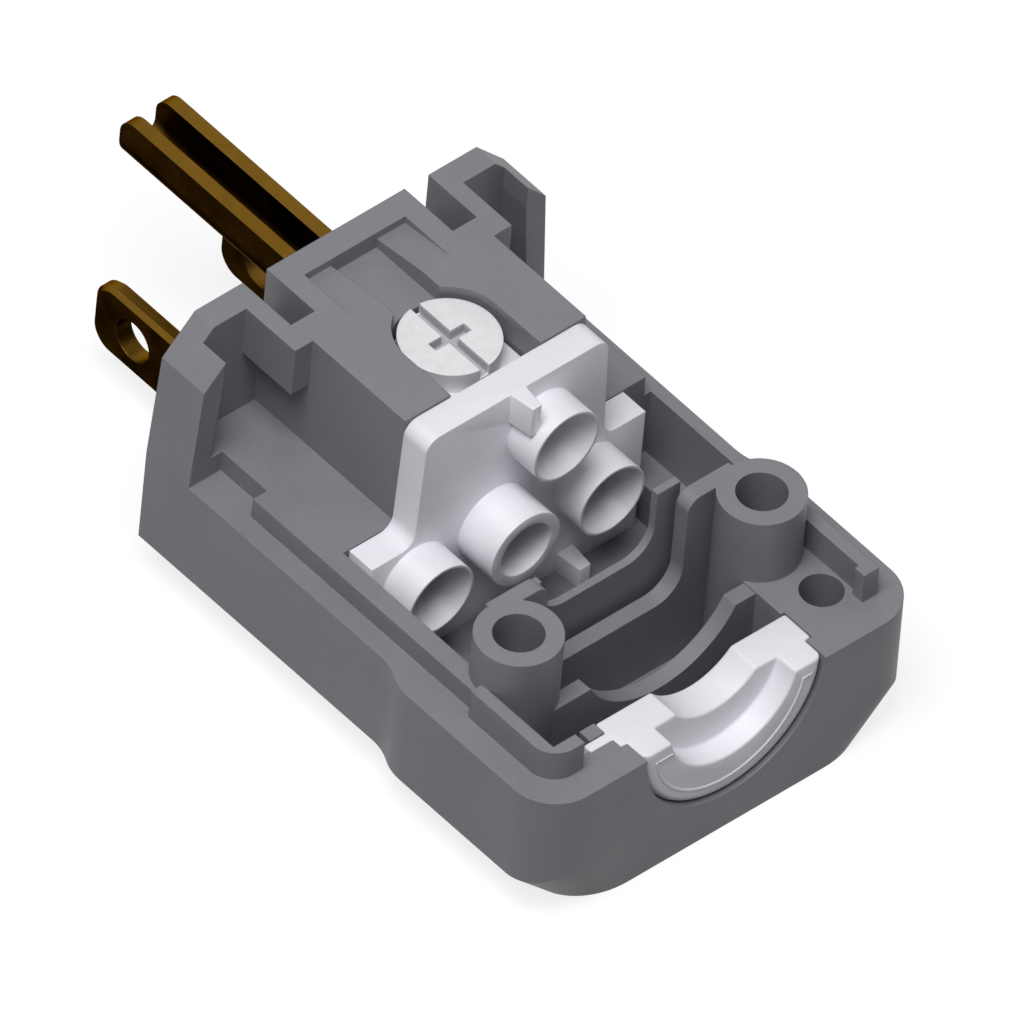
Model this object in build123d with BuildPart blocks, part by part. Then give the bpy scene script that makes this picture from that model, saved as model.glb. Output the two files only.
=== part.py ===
from build123d import *
import os

# Rewireable power plug, lower casing with its cover half taken off.
# X runs across the plug, +Y points out along the blades, +Z is up.
# The front face lies on Y = 0 and the underside on Z = 0.

# Casing
front_half_width = 17.8
rear_half_width = 18.9
body_length = 47.5
swell_start = 26.9
swell_radius = 4.675
rear_corner_radius = 4.0
rim_height = 12.5
bottom_chamfer = 3.4
floor_thickness = 2.0
right_wall = 1.1
right_shelf_height = 6.0

# Front face plate
face_height = 25.5
face_wall = 2.2
ear_depth = 4.85
ear_top_half_width = 14.1
ear_side_half_width = 17.1
ear_shoulder_height = 22.3
ear_wall = 2.0

# Hook notches beside the block
notch_width = 2.4
notch_depth = 5.55
notch_centre = 8.1
notch_height = 5.0
notch_cheek = 1.55
notch_cheek_length = 7.8
notch_cheek_height = 4.8

# Terminal block
block_half_width = 9.05
block_back = 18.4
deck_height = 14.5
ramp_half_width = 5.05
ramp_length = 5.3
ramp_depth = 0.75
channel_half_width = 2.3
channel_depth = 1.67

# Tongue along the joint with the cover
tongue_outer = 16.0
tongue_inner = 14.3
tongue_front = 10.0
tongue_step = 1.4
rear_tongue_start = 35.8
rear_tongue_outer = 16.7
rear_tongue_wall = 1.1
rear_tongue_height = 15.4
rear_tongue_radius = 2.2
rear_tongue_return = 13.4
right_tongue_outer = 16.35
tongue_lip_width = 0.4
tongue_lip_length = 1.1
end_rim = 2.4
tongue_stop = 44.8

# Cover-screw bosses
boss_spacing = 24.34
boss_y = -35.75
boss_radius = 3.5
boss_hole_radius = 2.03
boss_height = 18.8
boss_sink_radius = 3.3
boss_sink_depth = 3.0

# Cross walls
comb_y = -31.2
comb_wall = 0.7
comb_half_width = 8.0
comb_left_height = 16.5
comb_notch_half_width = 5.7
comb_notch_height = 12.7
yoke_y = -33.3
yoke_wall = 1.4
yoke_notch_half_width = 7.0
yoke_notch_height = 9.1
notch_corner_radius = 2.6
notch_lip_radius = 1.2
arch_y = -39.05
arch_wall = 1.4
arch_height = 12.3
arch_radius = 8.2
cord_axis_height = 16.1

# Cord-end seat and locating hole
seat_front = 42.0
seat_left = 11.0
pad_left = 9.7
locating_hole_x = 13.3
locating_hole_y = -41.95
locating_hole_radius = 1.75
locating_hole_depth = 7.0

# Terminal cover
cover_wall = 2.6
cover_low_half_width = 13.7
cover_low_height = 14.4
cover_high_half_width = 9.1
cover_foot_half_width = 9.5
cover_height = 25.3
cover_corner_radius = 1.3
tube_radius = 3.25
tube_length = 3.15
tube_bore = 2.0
tube_rim = 0.25
funnel_depth = 2.0
plain_tube_radius = 3.4
plain_tube_length = 3.9
plain_tube_bore = 2.45
plain_tube_x = -1.5
plain_tube_z = 12.2
ground_wire_x = 2.55
ground_wire_z = 20.2
line_wire_x = -9.2
neutral_wire_x = 7.95
power_wire_z = 10.9
cover_tab_width = 1.5
cover_tab_tip_width = 0.85
cover_tab_length = 2.2
cover_tab_height = 2.95
cover_tab_x = 0.0
foot_rib_width = 1.65
foot_rib_tip_width = 1.1
foot_rib_length = 2.4
foot_rib_height = 4.0
foot_rib_x = 6.5
seat_clearance = 0.05

# Blades and earth pin
blade_spacing = 12.7
blade_thickness = 1.5
blade_height = 6.7
blade_centre_height = 6.7
blade_length = 17.9
blade_hole_radius = 1.86
blade_hole_setback = 4.6
blade_tip_radius = 2.2
blade_tip_bevel = 0.35
blade_inner_length = 7.0
pin_width = 4.8
pin_height = 4.8
pin_sheet = 1.2
pin_base_radius = 2.3
pin_length = 21.5
pin_rise = 12.4
pin_tip_radius = 1.5
pin_leg_inner_length = 7.5

# Terminals
screw_radius = 1.75
screw_y = -13.23
screw_clearance = 0.05
terminal_gap = 0.3
ground_head_radius = 4.05
ground_head_sink = 0.8
ground_head_height = 1.9
well_radius = 4.5
clamp_thickness = 1.3
ground_travel = 2.2
tab_thickness = 1.2
tab_back = 17.4
power_screw_offset = 3.15
power_head_radius = 3.3
power_head_height = 2.2
power_travel = 1.6
power_tab_top = 13.4
power_clamp_top = 9.0
screw_access_radius = 3.6
chamber_front = 4.2
chamber_floor = 3.3
chamber_side = 4.3
slot_width = 0.9
slot_depth = 1.0
cross_slot_length = 3.6

# Cord saddle
saddle_inner_front = 42.1
saddle_step = 45.1
saddle_flange_end = 47.2
saddle_throat_radius = 5.27
saddle_throat_height = 15.9
saddle_mouth_radius = 6.3
saddle_mouth_height = 13.7
saddle_body_radius = 7.9
saddle_flange_radius = 8.9
saddle_lug_half_width = 9.5
saddle_lug_thickness = 2.0
saddle_flange_round = 0.7
saddle_finger_length = 2.2
saddle_finger_width = 0.9
saddle_finger_height = 3.2
saddle_finger_y = -43.7

# Derived places
swell_width = abs(rear_half_width - front_half_width)
swell_end = swell_start + (swell_width * (4 * swell_radius - swell_width)) ** 0.5
ground_head_top = face_height - ground_head_sink
block_centre_y = -block_back / 2
base_centre = Pos(0, (body_length - pin_length) / 2, 0)
pin_centre_height = blade_centre_height + pin_rise
pin_floor = pin_centre_height - pin_height / 2
deck_side = tongue_outer - tongue_step
ground_tab_top = pin_floor + tab_thickness
ground_clamp_top = ground_head_top - ground_head_height
line_screw_x = line_wire_x + power_screw_offset
neutral_screw_x = neutral_wire_x - power_screw_offset
cover_back_y = -(block_back + seat_clearance + cover_wall)


# Housing: lower shell
with BuildPart() as housing:
    with BuildSketch():
        with BuildLine():
            swell_middle = ((front_half_width + rear_half_width) / 2, -(swell_start + swell_end) / 2)
            Polyline((0, 0), (front_half_width, 0), (front_half_width, -swell_start))
            TangentArc((front_half_width, -swell_start), swell_middle, tangent=(0, -1))
            TangentArc((rear_half_width, -swell_end), swell_middle, tangent=(0, 1))
            Polyline((rear_half_width, -swell_end), (rear_half_width, -body_length), (0, -body_length))
            mirror(about=Plane.YZ)
        make_face()
    extrude(amount=rim_height)
    bottom_edges = housing.faces().sort_by(Axis.Z)[0].edges()
    side_edges = bottom_edges.filter_by(lambda e: abs(e.center().X) > front_half_width - 4)
    chamfer(side_edges, bottom_chamfer)
    end_edges = housing.faces().sort_by(Axis.Y)[0].edges()
    corner_edges = end_edges.filter_by(lambda e: abs(e.center().X) > rear_half_width - 4)
    fillet(corner_edges, rear_corner_radius)

    # Face plate, full height of the plug
    with BuildSketch(Plane.XZ) as face_plate:
        with BuildLine():
            Polyline(
                (0, rim_height - 1),
                (front_half_width, rim_height - 1),
                (front_half_width, rim_height),
                (ear_side_half_width, ear_shoulder_height),
                (ear_top_half_width, face_height),
                (0, face_height),
            )
            mirror(about=Plane.YZ)
        make_face()
    extrude(amount=ear_depth)

    # Pockets behind the ears
    with BuildSketch(Plane.XZ.offset(face_wall)) as pockets:
        with BuildLine():
            inner_side = ear_side_half_width - ear_wall
            pocket_shoulder = face_height - (inner_side - ear_top_half_width)
            Polyline(
                (block_half_width, deck_height),
                (front_half_width - ear_wall, deck_height),
                (inner_side, ear_shoulder_height),
                (inner_side, pocket_shoulder),
                (ear_top_half_width, face_height),
                (block_half_width, face_height),
                close=True,
            )
        make_face()
        mirror(about=Plane.YZ)
    extrude(amount=ear_depth, mode=Mode.SUBTRACT)

    # Terminal block and decks
    with BuildSketch(Plane.XY.offset(rim_height - 1)):
        with Locations((0, block_centre_y)):
            Rectangle(2 * deck_side, block_back)
        with Locations((0, -(tongue_front + block_back) / 2)):
            Rectangle(2 * tongue_outer, block_back - tongue_front)
    extrude(amount=deck_height - rim_height + 1)
    with BuildSketch(Plane.XY.offset(rim_height)):
        with Locations((0, block_centre_y)):
            Rectangle(2 * block_half_width, block_back)
    extrude(amount=face_height - rim_height)
    with BuildSketch(Plane.XY.offset(face_height - notch_cheek_height)):
        with Locations((0, -notch_cheek_length / 2)):
            Rectangle(2 * (notch_centre + notch_width / 2 + notch_cheek), notch_cheek_length)
    extrude(amount=notch_cheek_height)

    # Hook notches in the front wall
    with BuildSketch(Plane.XY.offset(face_height - notch_height)):
        with Locations((notch_centre, -notch_depth / 2), (-notch_centre, -notch_depth / 2)):
            Rectangle(notch_width, notch_depth)
    extrude(amount=notch_height, mode=Mode.SUBTRACT)

    # Main cavity behind the terminal cover
    cavity_end = body_length - end_rim - rear_tongue_wall
    with BuildSketch(Plane.XY.offset(floor_thickness)) as cavity:
        with Locations((0, -(block_back + cavity_end) / 2)):
            Rectangle(2 * tongue_inner, cavity_end - block_back)
    extrude(amount=rim_height, mode=Mode.SUBTRACT)

    # Upper cavity out to the thin right wall, over a shelf that clears the bottom chamfer
    with BuildSketch(Plane.XY.offset(right_shelf_height)):
        with Locations(((front_half_width - right_wall) / 2, -(block_back + rear_tongue_start) / 2)):
            Rectangle(front_half_width - right_wall, rear_tongue_start - block_back)
    extrude(amount=rim_height, mode=Mode.SUBTRACT)

    # Tongues on the joint face, the long one on the left only
    with BuildSketch(Plane.XY.offset(rim_height - 1)):
        tongue_centre = (tongue_outer + tongue_inner) / 2
        with Locations((-tongue_centre, -(block_back + rear_tongue_start) / 2)):
            Rectangle(tongue_outer - tongue_inner, rear_tongue_start - block_back)
    extrude(amount=deck_height - rim_height + 1)
    with BuildSketch(Plane.XY.offset(rim_height - 1)) as rear_tongue:
        with BuildLine():
            Polyline(
                (-rear_tongue_outer, -rear_tongue_start),
                (-rear_tongue_outer, -(body_length - end_rim)),
                (-rear_tongue_return, -(body_length - end_rim)),
                (-rear_tongue_return, -cavity_end),
                (-(rear_tongue_outer - rear_tongue_wall), -cavity_end),
                (-(rear_tongue_outer - rear_tongue_wall), -rear_tongue_start),
                close=True,
            )
        make_face()
        corner = rear_tongue.vertices().sort_by(lambda v: v.X + v.Y)[0]
        fillet(corner, rear_tongue_radius)
        with Locations((right_tongue_outer - rear_tongue_wall / 2, -(rear_tongue_start + tongue_stop) / 2)):
            Rectangle(rear_tongue_wall, tongue_stop - rear_tongue_start)
        with Locations((right_tongue_outer, -tongue_stop)):
            Rectangle(rear_tongue_wall + tongue_lip_width, tongue_lip_length, align=(Align.MAX, Align.MIN))
    extrude(amount=rear_tongue_height - rim_height + 1)

    # Cord-end seat and corner pad
    with BuildSketch(Plane.XY.offset(floor_thickness)):
        seat_middle_y = -(seat_front + body_length - 1) / 2
        with Locations(((tongue_inner - seat_left) / 2, seat_middle_y)):
            Rectangle(tongue_inner + seat_left, body_length - 1 - seat_front)
        pad_front = -arch_y - arch_wall
        with Locations(((tongue_inner + pad_left) / 2, -(pad_front + body_length - 1) / 2)):
            Rectangle(tongue_inner - pad_left + 1, body_length - 1 - pad_front)
    extrude(amount=rim_height - floor_thickness)

    # Cross walls, each from the floor up
    cross_walls = (
        (comb_y, comb_wall, comb_half_width, boss_height),
        (yoke_y, yoke_wall, boss_spacing / 2, boss_height),
        (arch_y, arch_wall, tongue_inner, arch_height),
    )
    for rear_y, wall, half_width, height in cross_walls:
        with BuildSketch(Plane.XZ.offset(-rear_y - wall)):
            with Locations((0, height / 2)):
                Rectangle(2 * half_width, height)
        extrude(amount=wall)

    # Round-cornered notches in the two tall walls, arc in the low one
    notches = (
        (comb_y, comb_wall, comb_notch_half_width, comb_notch_height),
        (yoke_y, yoke_wall, yoke_notch_half_width, yoke_notch_height),
    )
    for rear_y, wall, half_width, bottom in notches:
        with BuildSketch(Plane.XZ.offset(-rear_y - wall)) as notch:
            with Locations((0, (bottom + boss_height + 1) / 2)):
                Rectangle(2 * half_width, boss_height + 1 - bottom)
            fillet(notch.vertices().group_by(Axis.Y)[0], notch_corner_radius)
        extrude(amount=wall, mode=Mode.SUBTRACT)
    lips = housing.edges().filter_by(
        lambda e: abs(abs(e.center().X) - yoke_notch_half_width) < 0.01
        and abs(e.center().Z - boss_height) < 0.01
        and abs(e.center().Y - yoke_y) < yoke_wall
    )
    fillet(lips, notch_lip_radius)
    with BuildSketch(Plane.XZ.offset(-comb_y - comb_wall)):
        with Locations((-comb_half_width, comb_left_height)):
            Rectangle(comb_half_width, boss_height, align=Align.MIN)
    extrude(amount=comb_wall, mode=Mode.SUBTRACT)
    with BuildSketch(Plane.XZ.offset(-arch_y - arch_wall)):
        with Locations((0, cord_axis_height)):
            Circle(arch_radius)
    extrude(amount=arch_wall, mode=Mode.SUBTRACT)

    # Cover-screw bosses
    with BuildSketch():
        with GridLocations(boss_spacing, 0, 2, 1):
            with Locations((0, boss_y)):
                Circle(boss_radius)
    extrude(amount=boss_height)
    with Locations((boss_spacing / 2, boss_y, boss_height), (-boss_spacing / 2, boss_y, boss_height)):
        Hole(boss_hole_radius)
    with BuildSketch():
        with GridLocations(boss_spacing, 0, 2, 1):
            with Locations((0, boss_y)):
                Circle(boss_sink_radius)
    extrude(amount=boss_sink_depth, mode=Mode.SUBTRACT)

    # Locating hole in the corner pad
    with Locations((locating_hole_x, locating_hole_y, rim_height)):
        Hole(locating_hole_radius, locating_hole_depth)

    # Seat for the cord saddle
    with BuildSketch(Plane.XZ.offset(seat_front - 0.01)):
        with Locations((0, rim_height)):
            Circle(saddle_body_radius + seat_clearance)
        with Locations((0, rim_height)):
            Rectangle(
                2 * (saddle_lug_half_width + seat_clearance),
                2 * (saddle_lug_thickness + seat_clearance),
            )
    extrude(amount=saddle_step - seat_front + 0.01 + seat_clearance, mode=Mode.SUBTRACT)
    with BuildSketch(Plane.XZ.offset(saddle_step - seat_clearance)):
        with Locations((0, rim_height)):
            Circle(saddle_flange_radius + seat_clearance)
    extrude(amount=body_length - saddle_step + 1, mode=Mode.SUBTRACT)
    with BuildSketch(Plane.XY.offset(rim_height - saddle_finger_height - seat_clearance)):
        with Locations((-saddle_lug_half_width - saddle_finger_length / 2 + 0.2, saddle_finger_y)):
            Rectangle(
                saddle_finger_length + 0.4 + 2 * seat_clearance,
                saddle_finger_width + 2 * seat_clearance,
            )
    extrude(amount=saddle_finger_height + seat_clearance, mode=Mode.SUBTRACT)

    # Ramp and channel in the block's top
    with BuildSketch(Plane.YZ.offset(-ramp_half_width)):
        with BuildLine():
            Polyline(
                (-face_wall, face_height - ramp_depth),
                (-face_wall, face_height + 1),
                (-face_wall - ramp_length, face_height + 1),
                (-face_wall - ramp_length, face_height),
                close=True,
            )
        make_face()
    extrude(amount=2 * ramp_half_width, mode=Mode.SUBTRACT)
    with BuildSketch(Plane.XY.offset(face_height - channel_depth)):
        channel_length = -screw_y - face_wall
        with Locations((0, -face_wall - channel_length / 2)):
            Rectangle(2 * channel_half_width, channel_length)
    extrude(amount=channel_depth, mode=Mode.SUBTRACT)

    # Screw well, earth terminal chamber and pin passage
    with BuildSketch(Plane.XY.offset(pin_floor)):
        with Locations((0, screw_y)):
            Circle(well_radius)
        with Locations((0, (screw_y - block_back) / 2)):
            Rectangle(2 * well_radius, block_back + screw_y)
    extrude(amount=face_height - pin_floor, mode=Mode.SUBTRACT)
    with BuildSketch(Plane.XZ.offset(-1)):
        with Locations((0, pin_centre_height)):
            Rectangle(pin_width + 2 * seat_clearance, pin_height)
    extrude(amount=1 - screw_y - well_radius / 2, mode=Mode.SUBTRACT)
    with BuildSketch(Plane.XY.offset(pin_floor)):
        with Locations((0, screw_y)):
            Circle(screw_radius + 0.3)
    extrude(amount=-ground_travel - 0.2, mode=Mode.SUBTRACT)

    # Blade slots, terminal chambers and screwdriver holes of the two blades
    with BuildSketch(Plane.XZ.offset(-1)):
        with Locations((blade_spacing / 2, blade_centre_height), (-blade_spacing / 2, blade_centre_height)):
            Rectangle(blade_thickness + 2 * seat_clearance, blade_height + 2 * seat_clearance)
    extrude(amount=1 + chamber_front, mode=Mode.SUBTRACT)
    for wire_x, screw_x in ((line_wire_x, line_screw_x), (neutral_wire_x, neutral_screw_x)):
        with BuildSketch(Plane.XY.offset(chamber_floor)):
            with Locations(((wire_x + screw_x) / 2, -(chamber_front + block_back) / 2)):
                Rectangle(2 * chamber_side, block_back - chamber_front)
            with Locations((screw_x, -(chamber_front + block_back) / 2)):
                Rectangle(2 * screw_access_radius, block_back - chamber_front)
        extrude(amount=power_tab_top - chamber_floor, mode=Mode.SUBTRACT)
        with BuildSketch():
            with Locations((screw_x, screw_y)):
                Circle(screw_access_radius)
        extrude(amount=chamber_floor, mode=Mode.SUBTRACT)
        with BuildSketch(Plane.XY.offset(power_tab_top)):
            with Locations((screw_x, screw_y)):
                Circle(screw_radius + 0.3)
        extrude(amount=power_travel + 0.4, mode=Mode.SUBTRACT)


# Terminal cover: stepped plate with four wire tubes
with BuildPart() as terminal_cover:
    with BuildSketch(Plane.XZ.offset(block_back + seat_clearance)) as plate:
        with BuildLine():
            Polyline(
                (0, floor_thickness),
                (cover_low_half_width, floor_thickness),
                (cover_low_half_width, cover_low_height),
                (cover_foot_half_width, cover_low_height),
                (cover_high_half_width, cover_height),
                (0, cover_height),
            )
            mirror(about=Plane.YZ)
        make_face()
        top_corners = plate.vertices().group_by(Axis.Y)[-1]
        foot_corners = plate.vertices().filter_by(
            lambda v: abs(abs(v.X) - cover_foot_half_width) < 0.01
        )
        fillet(top_corners + foot_corners, cover_corner_radius)
    extrude(amount=cover_wall)

    funnels = ((ground_wire_x, ground_wire_z), (line_wire_x, power_wire_z), (neutral_wire_x, power_wire_z))
    with BuildSketch(Plane.XZ.offset(-cover_back_y)):
        with Locations(*funnels):
            Circle(tube_radius)
    extrude(amount=tube_length)
    with BuildSketch(Plane.XZ.offset(-cover_back_y)):
        with Locations((plain_tube_x, plain_tube_z)):
            Circle(plain_tube_radius)
    extrude(amount=plain_tube_length)
    for hole_x, hole_z in funnels:
        with BuildSketch(Plane.XZ.offset(-cover_back_y + tube_length)):
            with Locations((hole_x, hole_z)):
                Circle(tube_radius - tube_rim)
        with BuildSketch(Plane.XZ.offset(-cover_back_y + tube_length - funnel_depth)):
            with Locations((hole_x, hole_z)):
                Circle(tube_bore)
        loft(mode=Mode.SUBTRACT)
        with BuildSketch(Plane.XZ.offset(block_back)):
            with Locations((hole_x, hole_z)):
                Circle(tube_bore)
        extrude(amount=cover_wall + tube_length, mode=Mode.SUBTRACT)
    with BuildSketch(Plane.XZ.offset(block_back)):
        with Locations((plain_tube_x, plain_tube_z)):
            Circle(plain_tube_bore)
    extrude(amount=cover_wall + plain_tube_length + 1, mode=Mode.SUBTRACT)

    # Upper tab and foot rib, both narrower towards their tips
    ribs = (
        (cover_tab_x, cover_tab_width, cover_tab_tip_width, cover_tab_length, cover_height, cover_tab_height),
        (foot_rib_x, foot_rib_width, foot_rib_tip_width, foot_rib_length, foot_rib_height,
         foot_rib_height - floor_thickness),
    )
    for rib_x, width, tip_width, length, top, height in ribs:
        with BuildSketch(Plane.XY.offset(top)):
            with BuildLine():
                Polyline(
                    (rib_x - width / 2, cover_back_y),
                    (rib_x - tip_width / 2, cover_back_y - length),
                    (rib_x + tip_width / 2, cover_back_y - length),
                    (rib_x + width / 2, cover_back_y),
                    close=True,
                )
            make_face()
        extrude(amount=-height)


# Earth pin: folded U section with a terminal tab
with BuildPart() as ground_pin:
    with BuildSketch(Plane.XZ.offset(-pin_length)) as section:
        with Locations((0, pin_centre_height)):
            Rectangle(pin_width, pin_height)
        fillet(section.vertices().group_by(Axis.Y)[0], pin_base_radius)
    extrude(amount=pin_length + pin_leg_inner_length)
    with BuildSketch(Plane.YZ.offset(-pin_width / 2)) as pin_side:
        with Locations(((pin_length - pin_leg_inner_length) / 2, pin_centre_height)):
            Rectangle(pin_length + pin_leg_inner_length, pin_height)
        fillet(pin_side.vertices().group_by(Axis.X)[-1], pin_tip_radius)
    extrude(amount=pin_width, mode=Mode.INTERSECT)
    with BuildSketch(Plane.XZ.offset(-pin_length)) as channel:
        with Locations((0, pin_centre_height + pin_sheet)):
            Rectangle(pin_width - 2 * pin_sheet, pin_height)
        fillet(channel.vertices().group_by(Axis.Y)[0], pin_base_radius - pin_sheet)
    extrude(amount=pin_length + pin_leg_inner_length, mode=Mode.SUBTRACT)
    with BuildSketch(Plane.XY.offset(pin_floor)):
        with Locations((0, -(pin_leg_inner_length + tab_back) / 2)):
            Rectangle(pin_width, tab_back - pin_leg_inner_length)
        with Locations((0, screw_y)):
            Circle(well_radius - terminal_gap)
        with Locations((0, (screw_y - tab_back) / 2)):
            Rectangle(2 * (well_radius - terminal_gap), tab_back + screw_y)
    extrude(amount=tab_thickness)
    with Locations((0, screw_y, ground_tab_top)):
        Hole(screw_radius + screw_clearance)


def power_blade(side, screw_x, wire_x):
    """Makes one flat blade with its folded terminal tab."""
    blade_x = side * blade_spacing / 2
    bottom = blade_centre_height - blade_height / 2
    with BuildPart() as blade:
        with BuildSketch(Plane.YZ.offset(blade_x - blade_thickness / 2)) as side_view:
            with Locations(((blade_length - blade_inner_length) / 2, blade_centre_height)):
                Rectangle(blade_length + blade_inner_length, blade_height)
            fillet(side_view.vertices().group_by(Axis.X)[-1], blade_tip_radius)
            with Locations((blade_length - blade_hole_setback, blade_centre_height)):
                Circle(blade_hole_radius, mode=Mode.SUBTRACT)
            riser_length = blade_inner_length - chamber_front
            with Locations((-chamber_front - riser_length / 2, (bottom + power_tab_top) / 2)):
                Rectangle(riser_length, power_tab_top - bottom)
        extrude(amount=blade_thickness)
        tip_face = blade.faces().sort_by(Axis.Y)[-1]
        chamfer(tip_face.edges().filter_by(Axis.Z), blade_tip_bevel)
        with BuildSketch(Plane.XY.offset(power_tab_top)):
            tab_middle = (screw_x + wire_x) / 2
            with Locations((tab_middle, -(chamber_front + tab_back) / 2)):
                Rectangle(2 * (chamber_side - terminal_gap), tab_back - chamber_front)
        extrude(amount=-tab_thickness)
        with Locations((screw_x, screw_y, power_tab_top)):
            Hole(screw_radius + screw_clearance, tab_thickness)
    return blade


line_blade = power_blade(-1, line_screw_x, line_wire_x)
neutral_blade = power_blade(1, neutral_screw_x, neutral_wire_x)


# Earth terminal screw and its pressure plate
with BuildPart() as ground_screw:
    with BuildSketch(Plane.XY.offset(ground_clamp_top)):
        with Locations((0, screw_y)):
            Circle(ground_head_radius)
    extrude(amount=ground_head_height)
    with BuildSketch(Plane.XY.offset(ground_clamp_top)):
        with Locations((0, screw_y)):
            Circle(screw_radius)
    extrude(amount=-(ground_clamp_top - pin_floor))
    with BuildSketch(Plane.XY.offset(ground_head_top)):
        with Locations((0, screw_y)):
            Rectangle(slot_width, 2 * ground_head_radius)
            Rectangle(cross_slot_length, slot_width)
    extrude(amount=-slot_depth, mode=Mode.SUBTRACT)

with BuildPart() as ground_clamp:
    with BuildSketch(Plane.XY.offset(ground_clamp_top)):
        with Locations((0, screw_y)):
            Circle(well_radius - terminal_gap)
        with Locations((0, (screw_y - tab_back) / 2)):
            Rectangle(2 * (well_radius - terminal_gap), tab_back + screw_y)
        with Locations((0, screw_y)):
            Circle(screw_radius + screw_clearance, mode=Mode.SUBTRACT)
    extrude(amount=-clamp_thickness)


def power_screw(screw_x):
    """Makes a terminal screw whose head faces the underside."""
    head_top = power_clamp_top - clamp_thickness
    with BuildPart() as screw:
        with BuildSketch(Plane.XY.offset(head_top)):
            with Locations((screw_x, screw_y)):
                Circle(power_head_radius)
        extrude(amount=-power_head_height)
        with BuildSketch(Plane.XY.offset(head_top)):
            with Locations((screw_x, screw_y)):
                Circle(screw_radius)
        extrude(amount=power_tab_top - head_top)
        with BuildSketch(Plane.XY.offset(head_top - power_head_height)):
            with Locations((screw_x, screw_y)):
                Rectangle(slot_width, 2 * power_head_radius)
                Rectangle(cross_slot_length, slot_width)
        extrude(amount=slot_depth, mode=Mode.SUBTRACT)
    return screw


def power_clamp(screw_x, wire_x):
    """Makes the pressure plate that a blade's screw draws up onto the wire."""
    with BuildPart() as clamp:
        with BuildSketch(Plane.XY.offset(power_clamp_top)):
            with Locations(((screw_x + wire_x) / 2, screw_y)):
                plate_width = 2 * (chamber_side - 2 * terminal_gap)
                RectangleRounded(plate_width, 2 * (tab_back + screw_y - terminal_gap), 0.8)
            with Locations((screw_x, screw_y)):
                Circle(screw_radius + screw_clearance, mode=Mode.SUBTRACT)
        extrude(amount=-clamp_thickness)
    return clamp


line_screw = power_screw(line_screw_x)
neutral_screw = power_screw(neutral_screw_x)
line_clamp = power_clamp(line_screw_x, line_wire_x)
neutral_clamp = power_clamp(neutral_screw_x, neutral_wire_x)


# Cord saddle: stepped half ring with lugs
with BuildPart() as cord_saddle:
    with BuildSketch(Plane.XZ.offset(saddle_inner_front)) as inner_ring:
        with Locations((0, rim_height)):
            Circle(saddle_body_radius)
            Rectangle(2 * saddle_lug_half_width, 2 * saddle_lug_thickness)
        with Locations((0, rim_height + saddle_flange_radius)):
            Rectangle(4 * saddle_flange_radius, 2 * saddle_flange_radius, mode=Mode.SUBTRACT)
        with Locations((0, saddle_throat_height)):
            Circle(saddle_throat_radius, mode=Mode.SUBTRACT)
    extrude(amount=saddle_step - saddle_inner_front)
    with BuildSketch(Plane.XZ.offset(saddle_step)) as flange:
        with Locations((0, rim_height)):
            Circle(saddle_flange_radius)
        with Locations((0, rim_height + saddle_flange_radius)):
            Rectangle(4 * saddle_flange_radius, 2 * saddle_flange_radius, mode=Mode.SUBTRACT)
        with Locations((0, saddle_mouth_height)):
            Circle(saddle_mouth_radius, mode=Mode.SUBTRACT)
    extrude(amount=saddle_flange_end - saddle_step)
    rounded = cord_saddle.faces().sort_by(Axis.Y)[0].edges().filter_by(GeomType.CIRCLE)
    fillet(rounded.sort_by(SortBy.RADIUS)[-1], saddle_flange_round)
    with BuildSketch(Plane.XY.offset(rim_height)):
        with Locations((-saddle_lug_half_width - saddle_finger_length / 2 + 0.2, saddle_finger_y)):
            Rectangle(saddle_finger_length + 0.4, saddle_finger_width)
    extrude(amount=-saddle_finger_height)


pieces = {
    "housing": housing,
    "terminal_cover": terminal_cover,
    "ground_pin": ground_pin,
    "line_blade": line_blade,
    "neutral_blade": neutral_blade,
    "ground_screw": ground_screw,
    "ground_clamp": ground_clamp,
    "line_screw": line_screw,
    "line_clamp": line_clamp,
    "neutral_screw": neutral_screw,
    "neutral_clamp": neutral_clamp,
    "cord_saddle": cord_saddle,
}

# Files, with the middle of the whole plug's base at the origin
os.makedirs("parts", exist_ok=True)
for name, piece in pieces.items():
    solid = base_centre * piece.part
    solid.label = name
    export_step(solid, f"parts/{name}.step")
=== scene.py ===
"""Looks of the rewireable plug.

Finishes for every part, rounded white mouldings, the saddle's bead, the screws' threads, and the
floor, light and camera.
"""

import logging
import math
from dataclasses import dataclass, field
from enum import Enum

import bpy
from mathutils import Matrix, Vector


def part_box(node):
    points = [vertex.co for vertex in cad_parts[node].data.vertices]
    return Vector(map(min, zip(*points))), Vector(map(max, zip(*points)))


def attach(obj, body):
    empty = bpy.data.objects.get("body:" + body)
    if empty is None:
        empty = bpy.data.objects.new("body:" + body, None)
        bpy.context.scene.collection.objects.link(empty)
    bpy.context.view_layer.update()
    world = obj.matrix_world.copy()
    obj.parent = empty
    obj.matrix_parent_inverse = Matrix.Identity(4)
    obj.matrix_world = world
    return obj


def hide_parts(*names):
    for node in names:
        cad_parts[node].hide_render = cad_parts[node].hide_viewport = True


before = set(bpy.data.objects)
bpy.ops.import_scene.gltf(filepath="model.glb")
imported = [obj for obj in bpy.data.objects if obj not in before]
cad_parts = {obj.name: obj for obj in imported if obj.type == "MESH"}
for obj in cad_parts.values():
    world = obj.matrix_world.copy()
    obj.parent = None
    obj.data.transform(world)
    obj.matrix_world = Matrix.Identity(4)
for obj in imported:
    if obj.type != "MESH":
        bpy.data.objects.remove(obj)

log = logging.getLogger("plug")
MM = 0.001
MERGE_DISTANCE = 0.0005 * MM
Colour = tuple[float, float, float]
Socket = bpy.types.NodeSocket

# Most of a noise pattern lies between these two values
NOISE_LOW, NOISE_HIGH = 0.3, 0.7

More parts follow.
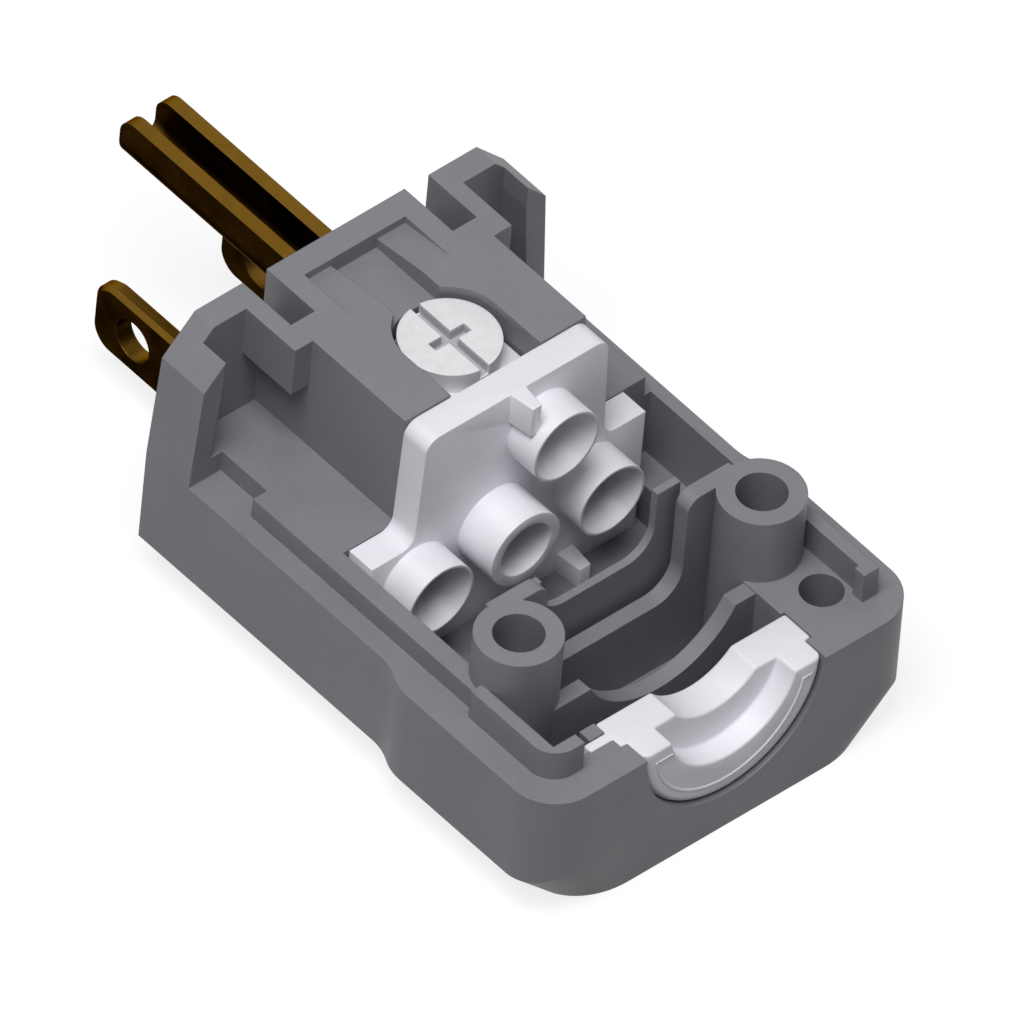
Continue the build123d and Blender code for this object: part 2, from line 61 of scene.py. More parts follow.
# Scale that all but removes an axis from a pattern, since place divides by it and it can't be 0
FLATTENED = 0.001

# Sockets of the Mix node by number, because their names repeat for each kind of value
MIX_FACTOR = 0
MIX_FIRST_NUMBER, MIX_SECOND_NUMBER, MIX_NUMBER = 2, 3, 0
MIX_FIRST_COLOUR, MIX_SECOND_COLOUR, MIX_COLOUR = 6, 7, 2


class Finish(Enum):
    """The finishes that a part of the plug can have, by the record's material slot."""

    CASING = "casing_plastic"
    WHITE = "white_plastic"
    BRASS = "contact_brass"
    PLATED = "plated_steel"


# Node helpers


class NodeSheet:
    """A small wrapper that adds shader nodes to one material and joins them up."""

    def __init__(self, name: str) -> None:
        """Makes the material.

        Args:
            name: The material's name.
        """
        self.material = bpy.data.materials.new(name)
        self.material.use_nodes = True
        self.tree = self.material.node_tree
        self.tree.nodes.clear()
        self.output = self.add("ShaderNodeOutputMaterial")

    def add(self, kind: str, **values: object) -> bpy.types.Node:
        """Adds a node.

        Args:
            kind: The node's Blender type name.
            values: Attributes of the node, or inputs by name with spaces written as underscores.

        Returns:
            The new node.
        """
        node = self.tree.nodes.new(kind)
        for key, value in values.items():
            if hasattr(node, key):
                setattr(node, key, value)
            else:
                node.inputs[key.replace("_", " ")].default_value = value
        return node

    def join(self, source: Socket, target: Socket) -> None:
        """Links one socket to another.

        Args:
            source: The socket that gives the value.
            target: The socket that takes it.
        """
        self.tree.links.new(source, target)

    def place(self, centre: Vector, scale: Vector) -> Socket:
        """Gives Object coordinates moved and scaled for one pattern.

        Args:
            centre: The point that becomes the pattern's origin, in metres.
            scale: Pattern units for each metre, along each axis.

        Returns:
            The vector socket of the placed coordinates.
        """
        where = self.add("ShaderNodeTexCoord")
        mapping = self.add("ShaderNodeMapping", vector_type="TEXTURE")
        mapping.inputs["Location"].default_value = centre
        mapping.inputs["Scale"].default_value = Vector((1 / scale.x, 1 / scale.y, 1 / scale.z))
        self.join(where.outputs["Object"], mapping.inputs["Vector"])
        return mapping.outputs["Vector"]

    def cells(self, size: float) -> Socket:
        """Gives Object coordinates in pattern units of one size.

        Args:
            size: One pattern unit, in metres.

        Returns:
            The vector socket of the placed coordinates.
        """
        return self.place(Vector(), Vector((1 / size,) * 3))

    def component(self, kind: str, axis: str) -> Socket:
        """Gives one component of a texture coordinate.

        Args:
            kind: The coordinate's name, such as Object or Normal.
            axis: X, Y or Z.

        Returns:
            The component's value socket.
        """
        where = self.add("ShaderNodeTexCoord")
        apart = self.add("ShaderNodeSeparateXYZ")
        self.join(where.outputs[kind], apart.inputs["Vector"])
        return apart.outputs[axis]

    def noise(self, vector: Socket, detail: float = 3.0, rough: float = 0.55) -> Socket:
        """Adds a noise pattern.

        Args:
            vector: The coordinates that it follows.
            detail: Octaves of finer noise.
            rough: How strong the finer octaves are.

        Returns:
            The pattern's value socket, about 0.3 to 0.7.
        """
        node = self.add("ShaderNodeTexNoise", Scale=1.0, Detail=detail, Roughness=rough)
        self.join(vector, node.inputs["Vector"])
        return node.outputs["Fac"]

    def remap(
        self, value: Socket, start: float, end: float, low: float, high: float, shape: str
    ) -> Socket:
        """Maps one range of a value to another.

        Args:
            value: What is mapped.
            start: Where its range starts.
            end: Where its range ends.
            low: The result at the start.
            high: The result at the end.
            shape: Blender's name for the way between them, such as LINEAR.

        Returns:
            The mapped value socket.
        """
        node = self.add("ShaderNodeMapRange", interpolation_type=shape)
        limits = {"From Min": start, "From Max": end, "To Min": low, "To Max": high}
        for key, number in limits.items():
            node.inputs[key].default_value = number
        self.join(value, node.inputs["Value"])
        return node.outputs["Result"]

    def spread(self, value: Socket, low: float, high: float) -> Socket:
        """Maps a pattern's middle range to two limits.

        Args:
            value: The pattern.
            low: The result where the pattern is 0.3.
            high: The result where the pattern is 0.7.

        Returns:
            The mapped value socket.
        """
        return self.remap(value, NOISE_LOW, NOISE_HIGH, low, high, "LINEAR")

    def step(self, value: Socket, start: float, end: float, low: float, high: float) -> Socket:
        """Adds a soft step from one level to another.

        Args:
            value: What is measured.
            start: Where the step starts.
            end: Where it ends.
            low: The level before it.
            high: The level after it.

        Returns:
            The stepped value socket.
        """
        return self.remap(value, start, end, low, high, "SMOOTHSTEP")

    def tint(self, value: Socket, first: Colour, second: Colour) -> Socket:
        """Blends two colours by a pattern.

        Args:
            value: The pattern, 0 for the first colour and 1 for the second.
            first: Linear colour at 0.
            second: Linear colour at 1.

        Returns:
            The colour socket.
        """
        node = self.add("ShaderNodeMix", data_type="RGBA")
        node.inputs[MIX_FIRST_COLOUR].default_value = (*first, 1.0)
        node.inputs[MIX_SECOND_COLOUR].default_value = (*second, 1.0)
        self.join(value, node.inputs[MIX_FACTOR])
        return node.outputs[MIX_COLOUR]

    def cover(self, share: Socket, base: Socket, colour: Colour) -> Socket:
        """Lays one colour over another.

        Args:
            share: How much of the upper colour shows, from 0 to 1.
            base: The colour underneath.
            colour: The upper colour, linear.

        Returns:
            The colour socket.
        """
        node = self.add("ShaderNodeMix", data_type="RGBA")
        node.inputs[MIX_SECOND_COLOUR].default_value = (*colour, 1.0)
        self.join(share, node.inputs[MIX_FACTOR])
        self.join(base, node.inputs[MIX_FIRST_COLOUR])
        return node.outputs[MIX_COLOUR]

    def average(self, first: Socket, second: Socket, share: float) -> Socket:
        """Blends two patterns by a fixed share.

        Args:
            first: The first pattern.
            second: The second pattern.
            share: How much of the second shows, from 0 to 1.

        Returns:
            The blended value socket.
        """
        node = self.add("ShaderNodeMix", data_type="FLOAT")
        node.inputs[MIX_FACTOR].default_value = share
        self.join(first, node.inputs[MIX_FIRST_NUMBER])
        self.join(second, node.inputs[MIX_SECOND_NUMBER])
        return node.outputs[MIX_NUMBER]

    def maths(self, operation: str, *values: Socket | float) -> Socket:
        """Does one operation on values.

        Args:
            operation: Blender's name of the operation.
            values: Sockets or plain numbers, in order.

        Returns:
            The result's value socket.
        """
        node = self.add("ShaderNodeMath", operation=operation)
        for entry, value in zip(node.inputs, values):
            if isinstance(value, Socket):
                self.join(value, entry)
            else:
                entry.default_value = value
        return node.outputs[0]

    def relief(self, height: Socket, depth: float, strength: float, edge: float) -> Socket:
        """Turns a height pattern into a bumped normal over softly rounded edges.

        Args:
            height: The pattern.
            depth: Height of the relief, in metres.
            strength: How much of the relief shows.
            edge: Radius that the part's edges seem to have, in metres.

        Returns:
            The normal socket.
        """
        round_edge = self.add("ShaderNodeBevel", samples=6, Radius=edge)
        bump = self.add("ShaderNodeBump", Strength=strength, Distance=depth)
        self.join(height, bump.inputs["Height"])
        self.join(round_edge.outputs["Normal"], bump.inputs["Normal"])
        return bump.outputs["Normal"]


def white_rays(tree: bpy.types.NodeTree) -> Socket:
    """Adds the nodes that pick out the rays which see a white surrounding.

    Args:
        tree: The material's or the world's nodes.

    Returns:
        A value of 1 for camera, glossy and transmission rays, and 0 for the rest.
    """
    path = tree.nodes.new("ShaderNodeLightPath")
    seen = path.outputs["Is Camera Ray"]
    for kind in ("Is Glossy Ray", "Is Transmission Ray"):
        either = tree.nodes.new("ShaderNodeMath")
        either.operation = "MAXIMUM"
        tree.links.new(seen, either.inputs[0])
        tree.links.new(path.outputs[kind], either.inputs[1])
        seen = either.outputs[0]
    return seen


# Finishes


@dataclass(frozen=True)
class MouldedPlastic:
    """A moulded thermoplastic with cloudy colour and a fine spark-eroded grain."""

    name: str
    light: Colour
    dark: Colour
    gloss_low: float
    gloss_high: float
    grain: float = 0.16 * MM
    grain_depth: float = 0.02 * MM
    grain_strength: float = 0.35
    cloud: float = 7.0 * MM
    speck_in_grains: float = 2.5
    speck_share: float = 0.35
    edge: float = 0.12 * MM
    subsurface: float = 0.0
    subsurface_reach: Colour = (0.6, 0.5, 0.4)
    subsurface_scale: float = 0.6 * MM

    def build(self) -> bpy.types.Material:
        """Makes the material with its nodes."""
        sheet = NodeSheet(self.name)
        shader = sheet.add("ShaderNodeBsdfPrincipled", IOR=1.5)
        cloud = sheet.noise(sheet.cells(self.cloud), detail=4.0)
        speck = sheet.noise(sheet.cells(self.grain * self.speck_in_grains), detail=1.0)
        blend = sheet.average(cloud, speck, self.speck_share)
        colour = sheet.tint(sheet.spread(blend, 0.0, 1.0), self.dark, self.light)
        sheet.join(colour, shader.inputs["Base Color"])
        roughness = sheet.spread(cloud, self.gloss_low, self.gloss_high)
        sheet.join(roughness, shader.inputs["Roughness"])
        grain = sheet.noise(sheet.cells(self.grain), detail=2.0)
        normal = sheet.relief(grain, self.grain_depth, self.grain_strength, self.edge)
        sheet.join(normal, shader.inputs["Normal"])
        if self.subsurface:
            shader.inputs["Subsurface Weight"].default_value = self.subsurface
            shader.inputs["Subsurface Radius"].default_value = self.subsurface_reach
            shader.inputs["Subsurface Scale"].default_value = self.subsurface_scale
        sheet.join(shader.outputs["BSDF"], sheet.output.inputs["Surface"])
        return sheet.material


@dataclass(frozen=True)
class StripBrass:
    """Stamped brass strip, with rolling lines and painted shade that darkens its upright faces."""

    name: str
    bright: Colour
    tarnished: Colour
    # Colour of the painted shade on upright faces, the slope of the normal over which it fades in,
    # and how thin it gets in the blotches
    painted_side_shade: Colour
    glance: Colour = (0.35, 0.24, 0.10)
    side_shade_from: float = 0.25
    side_shade_to: float = 0.8
    side_shade_thinnest: float = 0.86
    gloss_low: float = 0.26
    gloss_high: float = 0.46
    line_width: float = 0.09 * MM
    line_length: float = 9.0 * MM
    line_depth: float = 0.01 * MM
    line_strength: float = 0.3
    line_share: float = 0.5
    blotch: float = 3.5 * MM
    edge: float = 0.10 * MM

    def build(self) -> bpy.types.Material:
        """Makes the material with its nodes."""
        sheet = NodeSheet(self.name)
        shader = sheet.add("ShaderNodeBsdfPrincipled", Metallic=1.0)
        shader.inputs["Specular Tint"].default_value = (*self.glance, 1.0)
        across, along = 1 / self.line_width, 1 / self.line_length
        lines = sheet.noise(sheet.place(Vector(), Vector((across, along, across))), detail=2.0)
        blotch = sheet.noise(sheet.cells(self.blotch), detail=5.0, rough=0.62)
        metal = sheet.tint(sheet.spread(blotch, 0.0, 1.0), self.bright, self.tarnished)
        # Painted shade: faces that stand upright get a dark brown cover, as if less light fell on
        # them, a little weaker in places with the blotches
        facing = sheet.component("Normal", "Z")
        upright_shade = sheet.step(facing, self.side_shade_from, self.side_shade_to, 1.0, 0.0)
        patchy_side_shade = sheet.maths("MULTIPLY", upright_shade, sheet.spread(blotch, 1.0, self.side_shade_thinnest))
        sheet.join(sheet.cover(patchy_side_shade, metal, self.painted_side_shade), shader.inputs["Base Color"])
        mixed = sheet.average(lines, blotch, self.line_share)
        roughness = sheet.spread(mixed, self.gloss_low, self.gloss_high)
        sheet.join(roughness, shader.inputs["Roughness"])
        normal = sheet.relief(lines, self.line_depth, self.line_strength, self.edge)
        sheet.join(normal, shader.inputs["Normal"])
        sheet.join(shader.outputs["BSDF"], sheet.output.inputs["Surface"])
        return sheet.material


@dataclass(frozen=True)
class PlatedSteel:
    """Pale zinc-plated steel, with faint turning rings about the screw's axis and painted shade in
    the slots.
    """

    name: str
    axis_x: float
    axis_y: float
    face_height: float
    head_radius: float
    pale: Colour = (0.78, 0.78, 0.80)
    dull: Colour = (0.70, 0.70, 0.72)
    # Grey painted as shade inside the head's rim away from its face: the slots, the shank and the
    # thread, and how far from the face it fades in
    slot_shade: Colour = (0.46, 0.46, 0.48)
    metallic: float = 0.35
    gloss_low: float = 0.58
    gloss_high: float = 0.72
    clouds_in_metre: float = 900.0
    ring: float = 0.16 * MM
    ring_depth: float = 0.006 * MM
    ring_strength: float = 0.25
    slot_shade_from: float = 0.10 * MM
    slot_shade_to: float = 0.40 * MM
    clean_rim: float = 0.1 * MM
    rim_fade: float = 0.15 * MM
    edge: float = 0.12 * MM

    def build(self) -> bpy.types.Material:
        """Makes the material with its nodes."""
        sheet = NodeSheet(self.name)
        shader = sheet.add("ShaderNodeBsdfPrincipled", Metallic=self.metallic)
        centre = Vector((self.axis_x, self.axis_y, 0.0))
        rings = sheet.add(
            "ShaderNodeTexWave", wave_type="RINGS", rings_direction="Z", wave_profile="SIN",
            Scale=0.5, Distortion=0.4,
        )
        sheet.join(sheet.place(centre, Vector((1 / self.ring,) * 3)), rings.inputs["Vector"])
        placed = sheet.place(centre, Vector((self.clouds_in_metre,) * 3))
        cloud = sheet.noise(placed, detail=5.0, rough=0.6)
        metal = sheet.tint(sheet.spread(cloud, 0.0, 1.0), self.pale, self.dull)
        # Painted shade: the slots and the shank below the head face turn grey, as if in shade
        sheet.join(sheet.cover(self.painted_slot_shade(sheet), metal, self.slot_shade), shader.inputs["Base Color"])
        roughness = sheet.spread(cloud, self.gloss_low, self.gloss_high)
        sheet.join(roughness, shader.inputs["Roughness"])
        normal = sheet.relief(rings.outputs["Fac"], self.ring_depth, self.ring_strength, self.edge)
        sheet.join(normal, shader.inputs["Normal"])
        sheet.join(shader.outputs["BSDF"], sheet.output.inputs["Surface"])
        return sheet.material

    def painted_slot_shade(self, sheet: NodeSheet) -> Socket:
        """Marks what lies inside the head and away from its face, which is where shade is painted
        into the slots.

        Args:
            sheet: The material's nodes.

        Returns:
            A value of 1 in the slots and 0 on the outside of the head.
        """
        offset = sheet.maths("SUBTRACT", sheet.component("Object", "Z"), self.face_height)
        depth = sheet.maths("ABSOLUTE", offset)
        below = sheet.step(depth, self.slot_shade_from, self.slot_shade_to, 0.0, 1.0)
        centre = Vector((self.axis_x, self.axis_y, 0.0))
        reach = sheet.add("ShaderNodeVectorMath", operation="LENGTH")
        sheet.join(sheet.place(centre, Vector((1.0, 1.0, FLATTENED))), reach.inputs[0])
        rim = self.head_radius - self.clean_rim
        inside = sheet.step(reach.outputs["Value"], rim - self.rim_fade, rim, 1.0, 0.0)
        return sheet.maths("MULTIPLY", below, inside)


# Building helpers


def deselect_all() -> None:
    """Leaves nothing selected, so that an operator acts on the new piece alone."""
    if bpy.context.object and bpy.context.object.mode != "OBJECT":
        bpy.ops.object.mode_set(mode="OBJECT")
    bpy.ops.object.select_all(action="DESELECT")


def settle(piece: bpy.types.Object, name: str) -> bpy.types.Object:
    """Names a finished piece and puts its place into its mesh.

    Args:
        piece: The finished piece.
        name: Its new name.

    Returns:
        The same piece, at the origin, unturned and unscaled.
    """
    deselect_all()
    piece.select_set(True)
    bpy.context.view_layer.objects.active = piece
    bpy.ops.object.transform_apply(location=True, rotation=True, scale=True)
    piece.name = name
    piece.data.name = name
    return piece


def finishes() -> dict[Finish, bpy.types.Material]:
    """Makes one material for each finish that isn't centred on a screw."""
    return {
        Finish.CASING: MouldedPlastic(
            "casing plastic", (0.212, 0.214, 0.234), (0.186, 0.188, 0.206), 0.45, 0.58
        ).build(),
        Finish.WHITE: MouldedPlastic(
            "white nylon", (0.81, 0.81, 0.86), (0.77, 0.77, 0.82), 0.36, 0.48,
            grain=0.3 * MM, grain_depth=0.01 * MM, grain_strength=0.2, edge=0.1 * MM,
            subsurface=0.12,
        ).build(),
        Finish.BRASS: StripBrass(
            # The third brass colour is the painted shade on the upright faces
            "strip brass", (0.235, 0.125, 0.018), (0.175, 0.092, 0.014), (0.012, 0.0125, 0.005)
        ).build(),
    }


# Sub-assemblies


@dataclass
class Dressing:
    """Puts a finish on the parts that come from the solid model."""

    nodes: dict[str, Finish] = field(
        default_factory=lambda: {
            "housing": Finish.CASING,
            "ground_pin": Finish.BRASS,
            "line_blade": Finish.BRASS,
            "neutral_blade": Finish.BRASS,
        }
    )
    smooth_angle: float = 30.0

    def dress(self, made: dict[Finish, bpy.types.Material]) -> None:
        """Gives every listed node its material and smooth shading across curves.

        Args:
            made: The material of each finish.
        """
        for name, finish in self.nodes.items():
            paint(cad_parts[name], made[finish], self.smooth_angle)
            log.info("dressed %s in %s", name, finish.value)


def paint(part: bpy.types.Object, material: bpy.types.Material, angle: float) -> None:
    """Gives a part one material and smooth shading up to an angle.

    Args:
        part: The part.
        material: Its finish.
        angle: Edges sharper than this stay crisp, in degrees.
    """
    part.data.materials.clear()
    part.data.materials.append(material)
    deselect_all()
    part.select_set(True)
    bpy.context.view_layer.objects.active = part
    bpy.ops.object.shade_smooth_by_angle(angle=math.radians(angle))


@dataclass
class SoftenedMoulding:
    """A white moulding with its sharp edges rounded, in place of its node of the solid model."""

    node: str
    body: str
    radius: float
    segments: int = 3
    sharper_than: float = 35.0
    flat_within: float = 1.0
    smooth_angle: float = 40.0

    def build(self, material: bpy.types.Material) -> bpy.types.Object:
        """Copies the node's mesh, merges it, rounds its edges and puts it in the node's place.

        Args:
            material: Its finish.

        Returns:
            The rounded moulding.
        """
        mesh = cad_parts[self.node].data.copy()
        piece = bpy.data.objects.new(f"{self.node}_moulding", mesh)
        bpy.context.scene.collection.objects.link(piece)
        deselect_all()
        piece.select_set(True)
        bpy.context.view_layer.objects.active = piece
        bpy.ops.object.mode_set(mode="EDIT")
        bpy.ops.mesh.select_all(action="SELECT")
        bpy.ops.mesh.remove_doubles(threshold=MERGE_DISTANCE)
        bpy.ops.mesh.dissolve_limited(angle_limit=math.radians(self.flat_within))
        bpy.ops.object.mode_set(mode="OBJECT")
        rounding = piece.modifiers.new("rounding", "BEVEL")
        rounding.width = self.radius
        rounding.segments = self.segments
        rounding.limit_method = "ANGLE"
        rounding.angle_limit = math.radians(self.sharper_than)
        bpy.ops.object.modifier_apply(modifier=rounding.name)
        settle(piece, f"{self.node}_moulding")
        paint(piece, material, self.smooth_angle)
        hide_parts(self.node)
        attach(piece, self.body)
        log.info("rounded the edges of %s", self.node)
        return piece


@dataclass
class SaddleBead:
    """The thin raised bead on the cord saddle's outer face."""

    body: str = "casing"
    centre_height: float = 12.5 * MM
    centre_shift: float = -0.3 * MM
    ring_radius: float = 7.45 * MM
    bead_radius: float = 0.16 * MM
    sunk: float = 0.05 * MM
    return_length: float = 0.8 * MM
    steps: int = 48
    sides: int = 10
    start_drop: float = 1.2 * MM
    end_tolerance: float = 0.002
    smooth_angle: float = 60.0

    def build(self, material: bpy.types.Material) -> bpy.types.Object:
        """Spins a small circle round the saddle's ring and turns its ends to the right.

        Args:
            material: Its finish.

        Returns:
            The bead.
        """
        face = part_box("cord_saddle")[0].y
        drop = math.asin(self.start_drop / self.ring_radius)
        pivot = Vector((self.centre_shift, face + self.sunk, self.centre_height))
        start = pivot + Vector((-math.cos(drop), 0.0, -math.sin(drop))) * self.ring_radius
        deselect_all()
        bpy.ops.mesh.primitive_circle_add(
            vertices=self.sides, radius=self.bead_radius, location=start, rotation=(0.0, -drop, 0.0)
        )
        bead = bpy.context.object
        bpy.ops.object.transform_apply(location=True, rotation=True, scale=True)
        bpy.ops.object.mode_set(mode="EDIT")
        bpy.ops.mesh.select_all(action="SELECT")
        bpy.ops.mesh.spin(
            steps=self.steps, angle=math.pi - 2 * drop, center=pivot, axis=(0.0, 1.0, 0.0)
        )
        bpy.ops.object.mode_set(mode="OBJECT")
        for side in (-1.0, 1.0):
            self.turn_end(bead, side)
        bpy.ops.object.mode_set(mode="EDIT")
        bpy.ops.mesh.select_all(action="SELECT")
        bpy.ops.mesh.remove_doubles(threshold=MERGE_DISTANCE)
        bpy.ops.mesh.normals_make_consistent(inside=False)
        bpy.ops.object.mode_set(mode="OBJECT")
        settle(bead, "saddle_bead")
        paint(bead, material, self.smooth_angle)
        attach(bead, self.body)
        log.info("bead added to the saddle")
        return bead

    def turn_end(self, bead: bpy.types.Object, side: float) -> None:
        """Extends one open end of the bead to the right and closes it.

        Args:
            bead: The spun bead.
            side: -1 for the left end, 1 for the right end.
        """
        for vertex in bead.data.vertices:
            vertex.select = vertex.co.x * side > 0 and self.on_end(vertex.co)
        bpy.ops.object.mode_set(mode="EDIT")
        bpy.ops.mesh.extrude_region_move(
            TRANSFORM_OT_translate={"value": (self.return_length, 0.0, 0.0)}
        )
        bpy.ops.mesh.edge_face_add()
        bpy.ops.object.mode_set(mode="OBJECT")

    def on_end(self, place: Vector) -> bool:
        """Says whether a point of the spun bead lies on one of its two end circles.

        Args:
            place: The point, in metres.

        Returns:
            True on an end circle.
        """
        drop = math.asin(self.start_drop / self.ring_radius)
        turn = math.atan2(self.centre_height - place.z, abs(place.x - self.centre_shift))
        return abs(turn - drop) < self.end_tolerance


@dataclass
class TerminalScrew:
    """A terminal screw's thread, and the finish of the screw and its pressure plate."""

    name: str
    screw_node: str
    clamp_node: str
    body: str
    shank_radius: float = 1.75 * MM
    pitch: float = 0.794 * MM
    crest_width: float = 0.12 * MM
    crest_height: float = 0.03 * MM
    root_width: float = 0.42 * MM
    root_depth: float = 0.10 * MM
    steps: int = 40
    smooth_angle: float = 30.0

    def axis(self) -> Vector:
        """The screw's axis, where it crosses the base plane, in metres."""
        low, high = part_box(self.screw_node)
        middle = (low + high) / 2
        return Vector((middle.x, middle.y, 0.0))

    def head_up(self) -> bool:
        """Says whether the head is at the top, above the pressure plate."""
        return sum(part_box(self.clamp_node), Vector()).z > sum(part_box(self.screw_node), Vector()).z

    def dress(self) -> None:
        """Gives the screw and its pressure plate a plated finish centred on the screw."""
        centre = self.axis()
        low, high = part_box(self.screw_node)
        face = high.z if self.head_up() else low.z
        radius = (high.x - low.x) / 2
        material = PlatedSteel(f"{self.name} plating", centre.x, centre.y, face, radius).build()
        for node in (self.screw_node, self.clamp_node):
            paint(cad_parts[node], material, self.smooth_angle)
            log.info("dressed %s in plating", node)
        self.thread(material)

    def thread(self, material: bpy.types.Material) -> bpy.types.Object:
        """Winds a tapered ridge round the part of the shank that the pressure plate leaves free.

        Args:
            material: Its finish.

        Returns:
            The thread.
        """
        screw_low, screw_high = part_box(self.screw_node)
        clamp_low, clamp_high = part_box(self.clamp_node)
        low = screw_low.z if self.head_up() else clamp_high.z
        high = clamp_low.z if self.head_up() else screw_high.z
        turns = int((high - low - self.root_width) / self.pitch)
        centre = self.axis()
        start = (low + high - turns * self.pitch) / 2
        deselect_all()
        bpy.ops.mesh.primitive_plane_add(size=1.0, rotation=(math.pi / 2, 0.0, 0.0))
        ridge = bpy.context.object
        depth = self.crest_height + self.root_depth
        ridge.scale = (depth, self.root_width, 1.0)
        bpy.ops.object.transform_apply(location=True, rotation=True, scale=True)
        for vertex in ridge.data.vertices:
            vertex.select = vertex.co.x > 0
        bpy.ops.object.mode_set(mode="EDIT")
        bpy.ops.mesh.select_mode(type="VERT")
        bpy.ops.transform.resize(value=(1.0, 1.0, self.crest_width / self.root_width))
        bpy.ops.mesh.select_all(action="SELECT")
        bpy.ops.mesh.delete(type="ONLY_FACE")
        bpy.ops.mesh.select_all(action="SELECT")
        reach = self.shank_radius + (self.crest_height - self.root_depth) / 2
        bpy.ops.transform.translate(value=(reach, 0.0, 0.0))
        bpy.ops.object.mode_set(mode="OBJECT")
        winding = ridge.modifiers.new("winding", "SCREW")
        winding.axis = "Z"
        winding.angle = math.tau
        winding.screw_offset = self.pitch
        winding.iterations = turns
        winding.steps = self.steps
        winding.render_steps = self.steps
        bpy.ops.object.modifier_apply(modifier=winding.name)
        ridge.location = (centre.x, centre.y, start)
        bpy.ops.object.mode_set(mode="EDIT")
        bpy.ops.mesh.select_all(action="SELECT")
        bpy.ops.mesh.remove_doubles(threshold=MERGE_DISTANCE)
        bpy.ops.mesh.select_all(action="DESELECT")
        bpy.ops.mesh.select_mode(type="EDGE")
        bpy.ops.mesh.select_non_manifold()
        bpy.ops.mesh.edge_face_add()
        bpy.ops.mesh.select_all(action="SELECT")
        bpy.ops.mesh.normals_make_consistent(inside=False)
        bpy.ops.object.mode_set(mode="OBJECT")
        piece_name = f"{self.name.replace(' ', '_')}_thread"
        settle(ridge, piece_name)
        paint(ridge, material, self.smooth_angle)
        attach(ridge, self.body)
        log.info("%s added, %d turns", piece_name, turns)
        return ridge


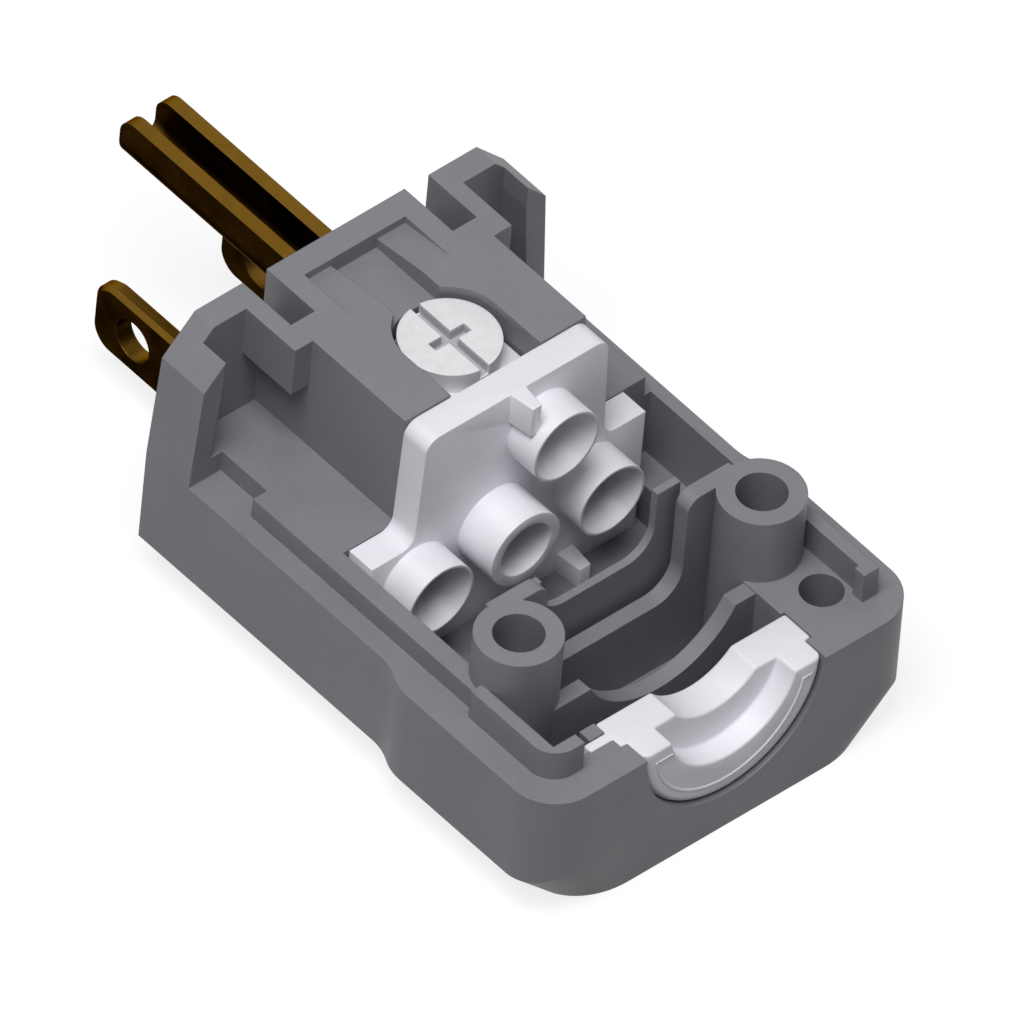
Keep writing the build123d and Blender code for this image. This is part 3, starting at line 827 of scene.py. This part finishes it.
@dataclass
class Studio:
    """Pale floor, soft light and the camera at the photograph's angle."""

    target: Vector = field(default_factory=lambda: Vector((0.00002, -0.00856, 0.0125)))
    right: Vector = field(default_factory=lambda: Vector((0.7528, -0.6549, 0.0667)))
    up: Vector = field(default_factory=lambda: Vector((0.4378, 0.5735, 0.6925)))
    frame_width: float = 77.17 * MM
    floor_size: float = 6.0
    floor_drop: float = 0.02 * MM
    floor_colour: Colour = (0.22, 0.22, 0.225)
    floor_glow: float = 0.82
    sky_level: float = 0.25
    white_level: float = 1.0
    key_direction: Vector = field(default_factory=lambda: Vector((-0.32, -0.14, 0.93)))
    key_size: float = 0.30
    key_power: float = 3.1
    key_distance: float = 0.6
    camera_distance: float = 0.5
    clip_near: float = 0.01
    clip_far: float = 20.0

    def camera(self) -> None:
        """Adds the parallel-projection camera."""
        back = self.right.cross(self.up).normalized()
        turn = Matrix((self.right, self.up, back)).transposed().to_4x4()
        data = bpy.data.cameras.new("camera")
        data.type = "ORTHO"
        data.ortho_scale = self.frame_width
        data.clip_start = self.clip_near
        data.clip_end = self.clip_far
        camera = bpy.data.objects.new("camera", data)
        bpy.context.scene.collection.objects.link(camera)
        camera.matrix_world = Matrix.Translation(self.target + back * self.camera_distance) @ turn
        bpy.context.scene.camera = camera
        log.info("camera looks at %s", tuple(round(c, 4) for c in self.target))

    def floor(self) -> None:
        """Adds the floor, which is white outside the object's shadow and clear from below."""
        deselect_all()
        bpy.ops.mesh.primitive_plane_add(size=self.floor_size, location=(0, 0, -self.floor_drop))
        floor = settle(bpy.context.object, "floor")
        sheet = NodeSheet("pale floor")
        diffuse = sheet.add("ShaderNodeBsdfDiffuse", Color=(*self.floor_colour, 1.0))
        glow = sheet.add("ShaderNodeEmission", Color=(1.0, 1.0, 1.0, 1.0))
        level = sheet.maths("MULTIPLY", white_rays(sheet.tree), self.floor_glow)
        both = sheet.add("ShaderNodeAddShader")
        sheet.join(level, glow.inputs["Strength"])
        sheet.join(diffuse.outputs[0], both.inputs[0])
        sheet.join(glow.outputs[0], both.inputs[1])
        below = sheet.add("ShaderNodeNewGeometry")
        clear = sheet.add("ShaderNodeBsdfTransparent")
        sided = sheet.add("ShaderNodeMixShader")
        sheet.join(below.outputs["Backfacing"], sided.inputs[0])
        sheet.join(both.outputs[0], sided.inputs[1])
        sheet.join(clear.outputs[0], sided.inputs[2])
        sheet.join(sided.outputs[0], sheet.output.inputs["Surface"])
        floor.data.materials.append(sheet.material)
        log.info("floor added")

    def sky(self) -> None:
        """Sets a dim even sky that the camera, mirrors and glass see as white."""
        world = bpy.data.worlds.new("studio")
        bpy.context.scene.world = world
        world.use_nodes = True
        tree = world.node_tree
        tree.nodes.clear()
        output = tree.nodes.new("ShaderNodeOutputWorld")
        background = tree.nodes.new("ShaderNodeBackground")
        level = tree.nodes.new("ShaderNodeMapRange")
        level.inputs["To Min"].default_value = self.sky_level
        level.inputs["To Max"].default_value = self.white_level
        tree.links.new(white_rays(tree), level.inputs["Value"])
        tree.links.new(level.outputs["Result"], background.inputs["Strength"])
        tree.links.new(background.outputs[0], output.inputs["Surface"])

    def lamp(self) -> None:
        """Adds the one soft square lamp, which faces the object."""
        data = bpy.data.lights.new("key", "AREA")
        data.shape = "SQUARE"
        data.size = self.key_size
        data.energy = self.key_power
        lamp = bpy.data.objects.new("key", data)
        bpy.context.scene.collection.objects.link(lamp)
        way = self.key_direction.normalized()
        lamp.location = self.target + way * self.key_distance
        lamp.rotation_mode = "QUATERNION"
        lamp.rotation_quaternion = way.to_track_quat("Z", "Y")

    def light(self) -> None:
        """Adds the sky and the lamp."""
        self.sky()
        self.lamp()
        log.info("light added")


def main() -> None:
    """Dresses the plug, then adds the studio round it."""
    logging.basicConfig(level=logging.INFO, format="%(name)s: %(message)s")
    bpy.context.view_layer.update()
    bpy.context.scene.view_settings.view_transform = "Standard"
    made = finishes()
    Dressing().dress(made)
    SoftenedMoulding("terminal_cover", "casing", 0.14 * MM).build(made[Finish.WHITE])
    SoftenedMoulding("cord_saddle", "casing", 0.22 * MM).build(made[Finish.WHITE])
    SaddleBead().build(made[Finish.WHITE])
    for screw in (
        TerminalScrew("ground screw", "ground_screw", "ground_clamp", "ground_bolt"),
        TerminalScrew("line screw", "line_screw", "line_clamp", "line_bolt"),
        TerminalScrew("neutral screw", "neutral_screw", "neutral_clamp", "neutral_bolt"),
    ):
        screw.dress()
    studio = Studio()
    studio.camera()
    studio.floor()
    studio.light()


if __name__ == "__main__":
    main()
